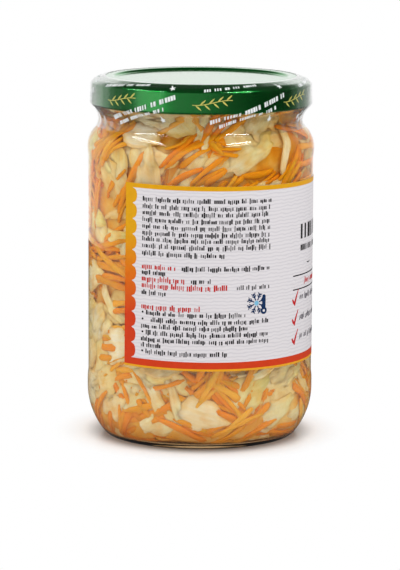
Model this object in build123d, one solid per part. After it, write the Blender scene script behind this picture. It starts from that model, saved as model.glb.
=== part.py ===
from build123d import *
import math
import os

# A screw-top glass jar of shredded sauerkraut, standing on its base.
# Millimetres, +Z up, origin at the centre of the ring that the jar stands on.
# The jar is drawn as a section in X and Z, and turned about the Z axis.
# Azimuth 0 is the front of the jar (-Y), and it grows to the right (+X).

# Jar body, outside
rim_height = 136.3            # base to the top of the glass rim
band_diameter = 86.6          # the two contact bands, the widest part of the glass
panel_recess = 0.3            # how far the label panel lies inside the bands
band_blend = 2.2              # height of the slope between a band and the panel
lower_band_height = 4.0       # straight part of the lower band
upper_band_height = 1.4       # straight part of the upper band

# Base and heel
heel_height = 18.0            # where the heel meets the straight wall
heel_radius = 27.0
foot_radius = 2.0             # small corner between the heel and the standing ring
standing_ring_width = 2.6
push_up = 1.8                 # hollow of the base, at its centre

# Shoulder and neck
shoulder_drop = 25.5          # rim down to where the shoulder starts to curve in
shoulder_radius = 10.0
neck_inset = 4.85             # neck radius is smaller than the band radius by this
neck_fillet = 3.9             # hollow curve from the shoulder into the neck
bead_rise = 0.45              # ring bead on the neck, just under the lid
bead_height = 2.0
bead_drop = 11.7              # rim down to the middle of the bead

# Finish: the part of the neck inside the lid
finish_step = 1.0             # finish radius is larger than the neck radius by this
finish_height = 8.6           # from the rim down
finish_slope = 1.0            # height of the slope under the finish
rim_round = 1.1

# Inside of the glass
wall = 2.3                    # wall behind the label panel
neck_wall = 2.45
base_thickness = 3.4          # glass over the standing ring
inner_heel_radius = 24.2
inner_foot_radius = 3.6       # small corner between the inner heel and the floor
inner_push_up = 1.4           # rise of the floor inside, at its centre

# Contents
headspace = 6.8               # rim down to the level of the contents
fill_clearance = 0.05         # contents to glass

# Lid
lid_height = 10.7
lid_clearance = 2.0           # skirt to finish, where the lid's lugs are
lid_skin = 0.5                # metal of the skirt and of the panel
seal_thickness = 1.3          # metal and lining between the rim and the top
lid_bevel_low = (1.55, 1.25)  # lower bevel: inwards, upwards
lid_bevel_high = (3.45, 1.25)  # upper bevel: inwards, upwards
crest_width = 3.6             # flat ring on top of the lid
crest_wall = 0.8              # run of the slope from the crest down to the panel
panel_drop = 0.85             # crest down to the panel
lid_curl = 0.8                # rounded lower edge of the skirt

# Security film, shrunk over the edge of the lid and over the neck
film_thickness = 0.15
film_gap = 0.04               # film to lid and film to glass
film_hem = 0.6                # film on the crest, from its outer edge inwards
film_tuck = -60               # where the film leaves the curl of the lid, degrees
film_turn = 45                # how far the film follows the neck fillet, degrees
film_sag = 0.75               # the film bends in by this between the lid and the neck

# Label
label_start = -40.5           # azimuth of the left edge, degrees
label_end = 233.0             # azimuth of the right edge, degrees
label_thickness = 0.12
label_gap = 0.02              # glue between glass and label
label_below = 7.1             # panel's lower edge up to the label
label_above = 6.6             # label up to the panel's upper edge
label_tilt = 0.85             # the label is stuck on askew, lower at the right, degrees

# Worked out
band_radius = band_diameter / 2
panel_radius = band_radius - panel_recess
neck_radius = band_radius - neck_inset
finish_radius = neck_radius + finish_step
inner_radius = panel_radius - wall
mouth_radius = neck_radius - neck_wall
shoulder_start = rim_height - shoulder_drop
panel_bottom = heel_height + lower_band_height + band_blend
panel_top = shoulder_start - upper_band_height - band_blend
fill_level = rim_height - headspace
lid_top = rim_height + seal_thickness
lid_bottom = lid_top - lid_height
skirt_radius = finish_radius + lid_clearance + lid_skin
crest_outer = skirt_radius - lid_bevel_low[0] - lid_bevel_high[0]
crest_inner = crest_outer - crest_width
bevel_height = lid_bevel_low[1] + lid_bevel_high[1]


def on_arc(centre, radius, degrees):
    """The point of an arc at an angle."""
    turn = math.radians(degrees)
    return (centre[0] + radius * math.cos(turn), centre[1] + radius * math.sin(turn))


def arc(centre, radius, start, end):
    """An arc between two angles, in degrees."""
    middle = on_arc(centre, radius, (start + end) / 2)
    return ThreePointArc(on_arc(centre, radius, start), middle, on_arc(centre, radius, end))


def polyline(points):
    """Straight edges through the points."""
    return [Line(first, second) for first, second in zip(points, points[1:])]


def beside(points, distance):
    """Points of a line that runs beside another, on the side away from the jar's axis."""
    places = [Vector(*point) for point in points]
    runs = [(second - first).normalized() for first, second in zip(places, places[1:])]
    sides = [Vector(-run.Y, run.X) for run in runs]
    moved = [places[0] + sides[0] * distance]
    for place, first, second in zip(places[1:], sides, sides[1:]):
        moved.append(place + (first + second) * (distance / (1 + first.dot(second))))
    moved.append(places[-1] + sides[-1] * distance)
    return moved


def turned(edges):
    """The solid made by turning a closed section about the Z axis."""
    section = make_face(Wire(edges))
    return revolve(Plane.XZ * section, Axis.Z, 360)


def neck_curves(wall_radius, round_radius, throat_radius, fillet_radius):
    """Shoulder arc and neck fillet of one wall, tangent to each other and to both walls."""
    shoulder = (wall_radius - round_radius, shoulder_start)
    across = throat_radius + fillet_radius - shoulder[0]
    up = math.sqrt((round_radius + fillet_radius) ** 2 - across ** 2)
    fillet = (throat_radius + fillet_radius, shoulder_start + up)
    meet = math.degrees(math.atan2(up, across))
    return shoulder, fillet, meet


def heel_curves(wall_radius, big_radius, small_radius, top, floor):
    """Heel arc and foot corner, tangent to each other, to the wall and to the floor."""
    heel = (wall_radius - big_radius, top)
    drop = top - floor - small_radius
    across = math.sqrt((big_radius - small_radius) ** 2 - drop ** 2)
    foot = (heel[0] + across, floor + small_radius)
    meet = -math.degrees(math.atan2(drop, across))
    return heel, foot, meet


def cavity_edges(inset, level):
    """Edges of the hollow, from its floor on the axis up to a level in the neck."""
    radius = inner_radius - inset
    throat = mouth_radius - inset
    floor = base_thickness + inset
    big, small = inner_heel_radius - inset, inner_foot_radius - inset
    heel, foot, heel_meet = heel_curves(radius, big, small, heel_height, floor)
    round_radius = shoulder_radius - (band_radius - inner_radius) - inset
    fillet_radius = neck_fillet + neck_wall + inset
    shoulder, fillet, meet = neck_curves(radius, round_radius, throat, fillet_radius)
    flat = foot[0]
    return [
        ThreePointArc((0, floor + inner_push_up), (flat / 2, floor + inner_push_up * 0.75), (flat, floor)),
        arc(foot, small, -90, heel_meet),
        arc(heel, big, heel_meet, 0),
        Line((radius, heel_height), (radius, shoulder_start)),
        arc(shoulder, round_radius, 0, meet),
        arc(fillet, fillet_radius, 180 + meet, 180),
        Line((throat, fillet[1]), (throat, level)),
    ]


def outer_edges():
    """Edges of the outside of the glass, from the axis up to the round of the rim."""
    heel, foot, heel_meet = heel_curves(band_radius, heel_radius, foot_radius, heel_height, 0)
    shoulder, fillet, meet = neck_curves(band_radius, shoulder_radius, neck_radius, neck_fillet)
    ring = foot[0] - standing_ring_width
    bead = rim_height - bead_drop
    finish = rim_height - finish_height
    edges = [
        ThreePointArc((0, push_up), (ring / 2, push_up * 0.75), (ring, 0)),
        Line((ring, 0), (foot[0], 0)),
        arc(foot, foot_radius, -90, heel_meet),
        arc(heel, heel_radius, heel_meet, 0),
    ]
    edges += polyline([
        (band_radius, heel_height),
        (band_radius, heel_height + lower_band_height),
        (panel_radius, panel_bottom),
        (panel_radius, panel_top),
        (band_radius, shoulder_start - upper_band_height),
        (band_radius, shoulder_start),
    ])
    edges += [
        arc(shoulder, shoulder_radius, 0, meet),
        arc(fillet, neck_fillet, 180 + meet, 180),
        Line((neck_radius, fillet[1]), (neck_radius, bead - bead_height / 2)),
        ThreePointArc((neck_radius, bead - bead_height / 2), (neck_radius + bead_rise, bead),
                      (neck_radius, bead + bead_height / 2)),
    ]
    edges += polyline([
        (neck_radius, bead + bead_height / 2),
        (neck_radius, finish - finish_slope),
        (finish_radius, finish),
        (finish_radius, rim_height - rim_round),
    ])
    return edges


def glass_jar():
    """The glass: outside, rounded rim, mouth and hollow in one turned section."""
    rim = rim_height - rim_round
    edges = outer_edges()
    edges += [
        arc((finish_radius - rim_round, rim), rim_round, 0, 90),
        Line((finish_radius - rim_round, rim_height), (mouth_radius + rim_round, rim_height)),
        arc((mouth_radius + rim_round, rim), rim_round, 90, 180),
    ]
    edges += cavity_edges(0, rim)
    edges.append(Line((0, push_up), (0, base_thickness + inner_push_up)))
    return turned(edges)


def sauerkraut():
    """The shredded cabbage and its brine, filling the jar to its level."""
    edges = cavity_edges(fill_clearance, fill_level)
    floor = base_thickness + fill_clearance + inner_push_up
    edges += polyline([(mouth_radius - fill_clearance, fill_level), (0, fill_level), (0, floor)])
    return turned(edges)


def lid_outline():
    """Corners of the lid's outside, from the crest's outer edge down to the curl."""
    return [
        (crest_outer, lid_top),
        (crest_outer + lid_bevel_high[0], lid_top - lid_bevel_high[1]),
        (skirt_radius, lid_top - bevel_height),
        (skirt_radius, lid_bottom + lid_curl),
    ]


def lid():
    """The metal lid: a sunk panel, a raised ring over the rim, bevels, skirt and curled edge."""
    outside = lid_outline()
    inside = beside(outside, -lid_skin)
    drop = inside[0].Y - inside[1].Y
    seat = inside[0] + (inside[1] - inside[0]) * ((inside[0].Y - rim_height) / drop)
    panel = lid_top - panel_drop
    panel_edge = crest_inner - crest_wall
    curl = (skirt_radius - lid_curl, lid_bottom + lid_curl)
    edges = polyline([(0, panel), (panel_edge, panel), (crest_inner, lid_top)] + outside)
    edges.append(arc(curl, lid_curl, 0, -180))
    edges += polyline([
        (curl[0] - lid_curl, curl[1]),
        (inside[3].X, curl[1] + lid_curl),
        inside[2],
        inside[1],
        seat,
        (mouth_radius, rim_height),
        (panel_edge - lid_skin, panel - lid_skin),
        (0, panel - lid_skin),
        (0, panel),
    ])
    return turned(edges)


def film_line(offset):
    """Edges of the film at a distance from what it covers, from the crest down to the shoulder."""
    fillet = neck_curves(band_radius, shoulder_radius, neck_radius, neck_fillet)[1]
    curl = (skirt_radius - lid_curl, lid_bottom + lid_curl)
    tuck = Vector(*on_arc(curl, lid_curl + offset, film_tuck))
    leave = Vector(neck_radius + offset, fillet[1])
    across = (tuck - leave).normalized()
    sag = (tuck + leave) / 2 + Vector(-across.Y, across.X) * film_sag
    over_lid = polyline(beside([(crest_outer - film_hem, lid_top)] + lid_outline(), offset))
    over_neck = [
        arc(curl, lid_curl + offset, 0, film_tuck),
        ThreePointArc(tuck, sag, leave),
        arc(fillet, neck_fillet - offset, 180, 180 + film_turn),
    ]
    return over_lid + over_neck


def seal_film():
    """The clear band: two parallel lines of the same course, closed at both hems."""
    inside = film_line(film_gap)
    outside = film_line(film_gap + film_thickness)
    top = Line(inside[0] @ 0, outside[0] @ 0)
    bottom = Line(inside[-1] @ 1, outside[-1] @ 1)
    return turned(inside + outside + [top, bottom])


def label():
    """A paper sleeve stuck askew on the panel, open at the left and the back."""
    inner = panel_radius + label_gap
    outer = inner + label_thickness
    low = panel_bottom + label_below
    high = panel_top - label_above
    middle = (low + high) / 2
    sweep = label_end - label_start
    height = high - low
    tall = height + 4 * outer * math.tan(math.radians(label_tilt))
    strip = Rectangle(label_thickness, tall)
    section = Plane.XZ * (Pos((inner + outer) / 2, middle) * strip)
    sleeve = revolve(section, Axis.Z, sweep)
    sleeve = Rot(0, 0, label_start - 90) * sleeve
    slab = Pos(0, 0, middle) * Rot(0, label_tilt, 0) * Box(4 * outer, 4 * outer, height)
    return sleeve & slab


def main():
    os.makedirs("parts", exist_ok=True)
    for build in (glass_jar, sauerkraut, lid, seal_film, label):
        export_step(build(), f"parts/{build.__name__}.step")


main()
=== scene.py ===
from math import atan2, cos, degrees, hypot, pi, radians, sin, sqrt

import bpy
import numpy as np
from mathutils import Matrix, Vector, noise


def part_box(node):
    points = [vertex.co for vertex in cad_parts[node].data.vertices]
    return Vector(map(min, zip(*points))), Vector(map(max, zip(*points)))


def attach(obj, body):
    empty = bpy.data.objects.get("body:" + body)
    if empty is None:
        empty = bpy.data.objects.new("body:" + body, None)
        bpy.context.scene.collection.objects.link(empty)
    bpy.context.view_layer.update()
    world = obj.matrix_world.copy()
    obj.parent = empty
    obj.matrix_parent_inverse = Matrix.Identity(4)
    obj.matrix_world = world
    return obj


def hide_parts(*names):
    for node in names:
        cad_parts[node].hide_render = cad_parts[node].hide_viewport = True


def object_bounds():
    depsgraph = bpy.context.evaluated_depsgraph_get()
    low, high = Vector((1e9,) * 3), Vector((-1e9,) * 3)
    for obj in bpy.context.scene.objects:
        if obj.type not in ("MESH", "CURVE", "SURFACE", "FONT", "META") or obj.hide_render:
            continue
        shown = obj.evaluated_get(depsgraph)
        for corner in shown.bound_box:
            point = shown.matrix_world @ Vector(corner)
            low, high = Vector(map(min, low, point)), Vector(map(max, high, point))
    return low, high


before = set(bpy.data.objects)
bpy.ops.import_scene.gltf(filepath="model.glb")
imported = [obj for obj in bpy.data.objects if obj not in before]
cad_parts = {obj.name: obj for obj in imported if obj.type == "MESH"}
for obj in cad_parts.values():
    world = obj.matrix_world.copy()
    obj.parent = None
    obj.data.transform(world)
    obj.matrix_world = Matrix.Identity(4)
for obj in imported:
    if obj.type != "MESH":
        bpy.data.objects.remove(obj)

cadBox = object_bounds()
mm = 0.001


# helpers for lines, pieces and materials
def colour(red, green, blue):
    # screen colour, 0 to 255, to the linear colour that the shaders take
    linear = []
    for value in (red, green, blue):
        part = value / 255
        linear.append(part / 12.92 if part <= 0.04045 else ((part + 0.055) / 1.055) ** 2.4)
    return (*linear, 1.0)


def grey(value):
    return (value, value, value, 1.0)


def around(turn, radius, height):
    # a place by its azimuth from the front towards the right, its radius and its height
    return Vector((radius * sin(turn), -radius * cos(turn), height))


def arcPoints(centre, radius, start, end, count):
    turns = np.radians(np.linspace(start, end, count + 1))
    return [(centre[0] + radius * cos(t), centre[1] + radius * sin(t)) for t in turns]


def roundedLine(points, radius, count=4):
    # an open line of (radius, height) points with its corners rounded off
    line = [points[0]]
    for before, corner, after in zip(points, points[1:], points[2:]):
        here = Vector(corner)
        back = Vector(before) - here
        ahead = Vector(after) - here
        reach = min(radius, 0.45 * back.length, 0.45 * ahead.length)
        first = here + back.normalized() * reach
        last = here + ahead.normalized() * reach
        for step in range(count + 1):
            share = step / count
            blend = first.lerp(here, share).lerp(here.lerp(last, share), share)
            line.append((blend.x, blend.y))
    line.append(points[-1])
    return line


def supportedLine(points, margin=0.5 * mm, stretch=6 * mm):
    # extra points on long straight runs, so that the smooth shading stays at the bends
    line = [points[0]]
    for first, second in zip(points, points[1:]):
        a, b = Vector(first), Vector(second)
        length = (b - a).length
        if length > 3 * margin:
            cuts = max(1, round((length - 2 * margin) / stretch))
            places = [margin + (length - 2 * margin) * i / cuts for i in range(cuts + 1)]
            line += [tuple(a.lerp(b, place / length)) for place in places]
        line.append(second)
    return line


def besideLine(points, distance):
    # the line moved sideways, away from the jar's axis where distance is positive
    moved = []
    for index, point in enumerate(points):
        before = Vector(points[max(index - 1, 0)])
        after = Vector(points[min(index + 1, len(points) - 1)])
        run = (after - before).normalized()
        moved.append((point[0] - run.y * distance, point[1] + run.x * distance))
    return moved


def runLengths(points):
    # how far along a line each of its points is
    return np.concatenate([[0.0], np.cumsum(np.linalg.norm(np.diff(points, axis=0), axis=1))])


def spinLine(name, points, steps, turn=0.0, sweep=360.0):
    # draws the line point by point in edit mode and spins it about the jar's axis
    places = [around(radians(turn), radius, height) for radius, height in points]
    bpy.ops.object.select_all(action="DESELECT")
    bpy.ops.mesh.primitive_plane_add(size=mm, location=(0, 0, 0))
    piece = bpy.context.object
    piece.name = name
    piece.data.name = name
    bpy.ops.object.mode_set(mode="EDIT")
    bpy.ops.mesh.select_all(action="SELECT")
    bpy.ops.mesh.merge(type="CENTER")
    bpy.ops.transform.translate(value=places[0])
    for first, second in zip(places, places[1:]):
        bpy.ops.mesh.extrude_region_move(TRANSFORM_OT_translate={"value": second - first})
    bpy.ops.mesh.select_all(action="SELECT")
    bpy.ops.mesh.spin(steps=steps, angle=-radians(sweep), center=(0, 0, 0), axis=(0, 0, 1))
    bpy.ops.mesh.select_all(action="SELECT")
    bpy.ops.mesh.remove_doubles(threshold=0.002 * mm)
    bpy.ops.mesh.normals_make_consistent(inside=False)
    bpy.ops.object.mode_set(mode="OBJECT")
    bpy.ops.object.shade_smooth_by_angle(angle=radians(35))
    return piece


def addToScene(name, data):
    thing = bpy.data.objects.new(name, data)
    bpy.context.scene.collection.objects.link(thing)
    return thing


class Heap:
    # small closed shapes gathered into one piece; four values for each point go into its colour attribute
    def __init__(self):
        self.places, self.faces, self.tones, self.count = [], [], [], 0

    def put(self, places, faces, *values):
        self.places.append(places)
        self.tones.append(np.stack(np.broadcast_arrays(*values), axis=1))
        self.faces += [tuple(index + self.count for index in face) for face in faces]
        self.count += len(places)

    def piece(self, name, smooth=True):
        mesh = bpy.data.meshes.new(name)
        mesh.from_pydata(np.concatenate(self.places).tolist(), [], self.faces)
        mesh.update()
        attribute = mesh.attributes.new("tone", "FLOAT_COLOR", "POINT")
        attribute.data.foreach_set("color", np.concatenate(self.tones).astype(np.float32).ravel())
        mesh.polygons.foreach_set("use_smooth", [smooth] * len(mesh.polygons))
        return addToScene(name, mesh)


def finishPiece(piece, material, slot, *nodes):
    piece.data.materials.append(material)
    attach(piece, "root")
    if nodes:
        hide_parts(*nodes)
    print(piece.name, "is made,", len(piece.data.polygons), "faces")


class Tree:
    # a new material or world with its nodes, added one by one and wired by socket names
    def __init__(self, owner):
        owner.use_nodes = True
        self.owner = owner
        self.nodes = owner.node_tree.nodes
        self.links = owner.node_tree.links
        self.nodes.clear()

    def add(self, kind, wires=None, **values):
        node = self.nodes.new("ShaderNode" + kind)
        for name, value in values.items():
            setattr(node, name, value)
        for socket, source in (wires or {}).items():
            target = node.inputs[socket]
            if isinstance(source, bpy.types.NodeSocket):
                self.links.new(source, target)
            else:
                target.default_value = source
        return node

    def ramp(self, factor, stops):
        # stops are places from 0 to 1 and their colours
        node = self.add("ValToRGB", {"Fac": factor})
        elements = node.color_ramp.elements
        elements[0].position, elements[0].color = stops[0]
        elements[1].position, elements[1].color = stops[-1]
        for place, shade in stops[1:-1]:
            elements.new(place).color = shade
        return node.outputs["Color"]

    def math(self, operation, first, second=0.0, third=0.0):
        return self.add("Math", {0: first, 1: second, 2: third}, operation=operation).outputs[0]

    def blend(self, factor, first, second, kind="MIX"):
        wires = {0: factor, 6: first, 7: second}
        return self.add("Mix", wires, data_type="RGBA", blend_type=kind).outputs[2]

    def place(self):
        return self.add("TexCoord").outputs["Object"]

    def tone(self):
        return self.add("Attribute", attribute_name="tone").outputs

    def split(self, shade):
        return self.add("SeparateColor", {"Color": shade}).outputs

    def noise(self, place, scale, detail):
        wires = {"Vector": place, "Scale": scale, "Detail": detail}
        return self.add("TexNoise", wires).outputs["Fac"]

    def climb(self, value, low, high, top=1.0):
        # softly from 0 to top while the value goes from low to high
        wires = {"Value": value, "From Min": low, "From Max": high, "To Max": top}
        return self.add("MapRange", wires, interpolation_type="SMOOTHSTEP").outputs["Result"]

    def bump(self, height, strength, distance):
        wires = {"Height": height, "Strength": strength, "Distance": distance}
        return self.add("Bump", wires).outputs["Normal"]

    def skin(self, shade, roughness, gloss, relief=None, more=None):
        # gloss is the specular level, relief the height, strength and depth of the bumps
        wires = {"Base Color": shade, "Roughness": roughness, "Specular IOR Level": gloss, **(more or {})}
        if relief is not None:
            wires["Normal"] = self.bump(*relief)
        return self.add("BsdfPrincipled", wires).outputs[0]

    def skinned(self, *values):
        return self.finish(self.skin(*values))

    def plain(self, kind, shade, strength=1.0):
        return self.add(kind, {"Color": shade, "Strength": strength}).outputs[0]

    def mix(self, factor, first, second):
        return self.add("MixShader", {0: factor, 1: first, 2: second}).outputs[0]

    def byRay(self, shader, others):
        # another shader takes over for some kinds of ray
        paths = self.add("LightPath").outputs
        for ray, other in others:
            shader = self.mix(paths[ray], shader, other)
        return shader

    def finish(self, shader, volume=None):
        inWorld = isinstance(self.owner, bpy.types.World)
        wires = {"Surface": shader}
        if volume is not None:
            wires["Volume"] = volume
        self.add("OutputWorld" if inWorld else "OutputMaterial", wires)
        return self.owner


def newMaterial(name):
    return Tree(bpy.data.materials.new(name))


def lampsPassThrough(tree, shader):
    # light goes straight through clear walls, so what is inside is lit without caustics
    clear = tree.add("BsdfTransparent", {"Color": (0.99, 0.985, 0.975, 1)}).outputs[0]
    return tree.byRay(shader, [("Is Shadow Ray", clear), ("Is Diffuse Ray", clear)])


# camera, floor and light; the camera's place is in metres and its turns in degrees
shot = dict(place=(-0.0010, -1.092, 0.2402), down=9.54, lean=-0.30, lens=181.5)


def addCamera():
    data = bpy.data.cameras.new("camera")
    data.lens = shot["lens"]
    camera = addToScene("camera", data)
    camera.location = shot["place"]
    camera.rotation_euler = (radians(90 - shot["down"]), radians(shot["lean"]), 0)
    bpy.context.scene.camera = camera


# what is seen of the room in gloss, and through glass: azimuth from the front in degrees, and brightness
studio = dict(plain=0.84, topFrom=0.35, topTo=0.62, top=0.04, inGloss=[
    (-180, 1.0), (-163, 0.95), (-150, 0.62), (-124, 0.58), (-108, 0.30), (-88, 0.18), (-74, 0.30),
    (-66, 0.95), (-40, 1.0), (-33, 0.42), (0, 0.32), (30, 0.11), (60, 0.03), (104, 0.03),
    (122, 0.25), (150, 0.5), (163, 0.95), (180, 1.0),
], behindGlass=[
    (-180, 1.0), (-128, 1.0), (-108, 0.45), (-88, 0.22), (-66, 0.6), (-33, 0.42), (0, 0.32),
    (30, 0.11), (60, 0.03), (104, 0.03), (122, 0.35), (136, 1.0), (180, 1.0),
])


def addStudio():
    world = Tree(bpy.data.worlds.new("studio"))
    bpy.context.scene.world = world.owner
    way = world.add("TexCoord").outputs["Generated"]
    x, y, z = world.add("SeparateXYZ", {"Vector": way}).outputs
    turn = world.math("ARCTAN2", x, world.math("MULTIPLY", y, -1.0))
    place = world.math("MULTIPLY_ADD", turn, 0.5 / pi, 0.5)
    over = world.climb(z, studio["topFrom"], studio["topTo"])
    rooms = []
    for ray, part in (("Is Glossy Ray", "inGloss"), ("Is Transmission Ray", "behindGlass")):
        walls = world.ramp(place, [(0.5 + turn / 360, grey(shade)) for turn, shade in studio[part]])
        room = world.blend(over, walls, grey(studio["top"]))
        rooms.append((ray, world.plain("Background", room)))
    rooms.append(("Is Camera Ray", world.plain("Background", grey(1))))
    world.finish(world.byRay(world.plain("Background", grey(1), studio["plain"]), rooms))


# each by its name, its azimuth and its width; they share the rest, and look at a height on the jar's axis
softboxes = dict(boxes=(("softboxLeft", -80, 0.80), ("softboxRight", 54, 0.45)),
                 up=54, away=1.1, tall=0.05, watts=2.5, lookAt=70 * mm)


def addSoftboxes():
    up = radians(softboxes["up"])
    for name, turn, wide in softboxes["boxes"]:
        light = bpy.data.lights.new(name, "AREA")
        light.shape = "RECTANGLE"
        light.size, light.size_y = wide, softboxes["tall"]
        light.energy = softboxes["watts"]
        lamp = addToScene(name, light)
        way = around(radians(turn), cos(up), sin(up))
        lamp.location = way * softboxes["away"] + Vector((0, 0, softboxes["lookAt"]))
        lamp.rotation_euler = way.to_track_quat("Z", "Y").to_euler()


# white is where the floor fades to the white background; the pair after it is where the painted shadow, a
# darker ring round the jar's foot, fades out, and the second colour is that shadow's
floorShape = dict(radius=0.5, drop=0.02 * mm, white=(0.036, 0.058), contact=(0.036, 0.047),
                  board=(0.97, 0.965, 0.96, 1), paintedShadow=(0.30, 0.28, 0.27, 1),
                  inGloss=((1, 0.97, 0.94, 1), 0.10), behindGlass=((1, 0.95, 0.89, 1), 0.95))


def addFloor():
    bpy.ops.object.select_all(action="DESELECT")
    bpy.ops.mesh.primitive_circle_add(vertices=96, radius=floorShape["radius"], fill_type="NGON",
                                      location=(0, 0, cadBox[0][2] - floorShape["drop"]))
    floor = bpy.context.object
    floor.name = "floor"
    tree = newMaterial("paleFloor")
    away = tree.add("VectorMath", {0: tree.place()}, operation="LENGTH").outputs["Value"]
    camera = tree.add("LightPath").outputs["Is Camera Ray"]
    # near the jar's foot the floor is darkened, for camera rays only: a painted contact shadow
    near = tree.math("SUBTRACT", 1.0, tree.climb(away, *floorShape["contact"]))
    near = tree.math("MULTIPLY", near, camera)
    far = tree.math("MULTIPLY", tree.climb(away, *floorShape["white"]), camera)
    board = tree.skin(tree.blend(near, floorShape["board"], floorShape["paintedShadow"]), 0.3, 0.12)
    shown = tree.mix(far, board, tree.plain("Emission", grey(1)))
    shown = tree.byRay(shown, [
        ("Is Glossy Ray", tree.plain("Emission", *floorShape["inGloss"])),
        ("Is Transmission Ray", tree.plain("Emission", *floorShape["behindGlass"])),
    ])
    floor.data.materials.append(tree.finish(shown))


bpy.context.scene.view_settings.view_transform = "Standard"
addCamera()
addStudio()
addSoftboxes()
addFloor()
print("camera, floor and light are in place")


# the glass jar, one wall spun round with its floor and rim
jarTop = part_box("glass_jar")[1]
jar = dict(
    band=jarTop[0], rim=jarTop[2], recess=0.3 * mm, blend=2.2 * mm, lowBand=4 * mm, highBand=1.4 * mm,
    heelHeight=18 * mm, heelRadius=27 * mm, footRadius=2 * mm, ring=2.6 * mm, pushUp=1.8 * mm,
    shoulderDrop=25.5 * mm, shoulderRadius=10 * mm, neckInset=4.85 * mm, neckFillet=3.9 * mm,
    beadRise=0.45 * mm, beadHeight=2 * mm, beadDrop=11.7 * mm, finishStep=1 * mm, finishHeight=8.6 * mm,
    rimRound=1.1 * mm, wall=2.3 * mm, neckWall=2.45 * mm, base=2.4 * mm, innerHeel=24.7 * mm,
    innerFoot=2.6 * mm, innerPushUp=1.4 * mm, ringRound=0.6 * mm, panelRound=0.8 * mm, neckRound=0.7 * mm,
    steps=180,
    # near the foot the glass takes a tan tint, a painted reflection of the sauerkraut seen in its thick
    # base
    clear=(0.99, 0.985, 0.975, 1), tint=(0.66, 0.45, 0.23, 1), paintedReflectionHeights=(1.0 * mm, 11.0 * mm),
)
jar["panel"] = jar["band"] - jar["recess"]
jar["neck"] = jar["band"] - jar["neckInset"]
jar["inner"] = jar["panel"] - jar["wall"]
jar["mouth"] = jar["neck"] - jar["neckWall"]
jar["shoulder"] = jar["rim"] - jar["shoulderDrop"]


def neckArcs(wallRadius, roundRadius, throat, filletRadius):
    centre = (wallRadius - roundRadius, jar["shoulder"])
    across = throat + filletRadius - centre[0]
    up = sqrt((roundRadius + filletRadius) ** 2 - across ** 2)
    meet = degrees(atan2(up, across))
    hollow = (throat + filletRadius, jar["shoulder"] + up)
    return centre, hollow, meet


def heelArcs(wallRadius, bigRadius, smallRadius, floor):
    centre = (wallRadius - bigRadius, jar["heelHeight"])
    drop = jar["heelHeight"] - floor - smallRadius
    across = sqrt((bigRadius - smallRadius) ** 2 - drop ** 2)
    foot = (centre[0] + across, floor + smallRadius)
    return centre, foot, -degrees(atan2(drop, across))


def outsideLine():
    # from the middle of the base out to the heel, up the panel, over the shoulder to the rim
    heel, foot, meet = heelArcs(jar["band"], jar["heelRadius"], jar["footRadius"], 0)
    ring = foot[0] - jar["ring"]
    rise = jar["pushUp"]
    line = [(0, rise)]
    line += [(ring * share, rise * (1 - share ** 2)) for share in (0.25, 0.5, 0.7, 0.85, 0.95)]
    line += roundedLine([(ring * 0.98, rise * 0.04), (ring, 0), (foot[0], 0)], jar["ringRound"])[1:]
    line += arcPoints(foot, jar["footRadius"], -90, meet, 8)[1:]
    line += arcPoints(heel, jar["heelRadius"], meet, 0, 14)[1:]
    lowTop = jar["heelHeight"] + jar["lowBand"]
    highBottom = jar["shoulder"] - jar["highBand"]
    wall = roundedLine([
        (jar["band"], jar["heelHeight"]), (jar["band"], lowTop),
        (jar["panel"], lowTop + jar["blend"]), (jar["panel"], highBottom - jar["blend"]),
        (jar["band"], highBottom), (jar["band"], jar["shoulder"]),
    ], jar["panelRound"])
    line += supportedLine(wall)[1:]
    centre, hollow, turn = neckArcs(jar["band"], jar["shoulderRadius"], jar["neck"], jar["neckFillet"])
    line += arcPoints(centre, jar["shoulderRadius"], 0, turn, 10)[1:]
    line += arcPoints(hollow, jar["neckFillet"], 180 + turn, 180, 7)[1:]
    bead = jar["rim"] - jar["beadDrop"]
    half = jar["beadHeight"] / 2
    finish = jar["rim"] - jar["finishHeight"]
    neck, step = jar["neck"], jar["finishStep"]
    line += roundedLine([
        (neck, hollow[1]), (neck, bead - half), (neck + jar["beadRise"], bead), (neck, bead + half),
        (neck, finish - step), (neck + step, finish), (neck + step, jar["rim"] - jar["rimRound"]),
    ], jar["neckRound"])[1:]
    return line


def cavityLine(inset, level):
    # from the middle of the floor out and up to a level in the neck
    wall = jar["inner"] - inset
    throat = jar["mouth"] - inset
    floor = jar["base"] + inset
    big, small = jar["innerHeel"] - inset, jar["innerFoot"] - inset
    heel, foot, turn = heelArcs(wall, big, small, floor)
    curve = jar["shoulderRadius"] - (jar["band"] - jar["inner"]) - inset
    fillet = jar["neckFillet"] + jar["neckWall"] + inset
    centre, hollow, meet = neckArcs(wall, curve, throat, fillet)
    rise = jar["innerPushUp"]
    line = [(foot[0] * share, floor + rise * (1 - share ** 2)) for share in (0, 0.25, 0.5, 0.75)]
    line += arcPoints(foot, small, -90, turn, 7)
    line += arcPoints(heel, big, turn, 0, 14)[1:]
    line += supportedLine([(wall, heel[1]), (wall, jar["shoulder"])])[1:]
    line += arcPoints(centre, curve, 0, meet, 9)[1:]
    line += arcPoints(hollow, fillet, 180 + meet, 180, 9)[1:]
    line.append((throat, level))
    return line


def makeGlass():
    rim = jar["rim"] - jar["rimRound"]
    outer = jar["neck"] + jar["finishStep"] - jar["rimRound"]
    line = outsideLine()
    line += arcPoints((outer, rim), jar["rimRound"], 0, 90, 5)[1:]
    line += arcPoints((jar["mouth"] + jar["rimRound"], rim), jar["rimRound"], 90, 180, 5)
    line += cavityLine(0, rim)[::-1][1:]
    return spinLine("jarGlass", line, jar["steps"])


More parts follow.
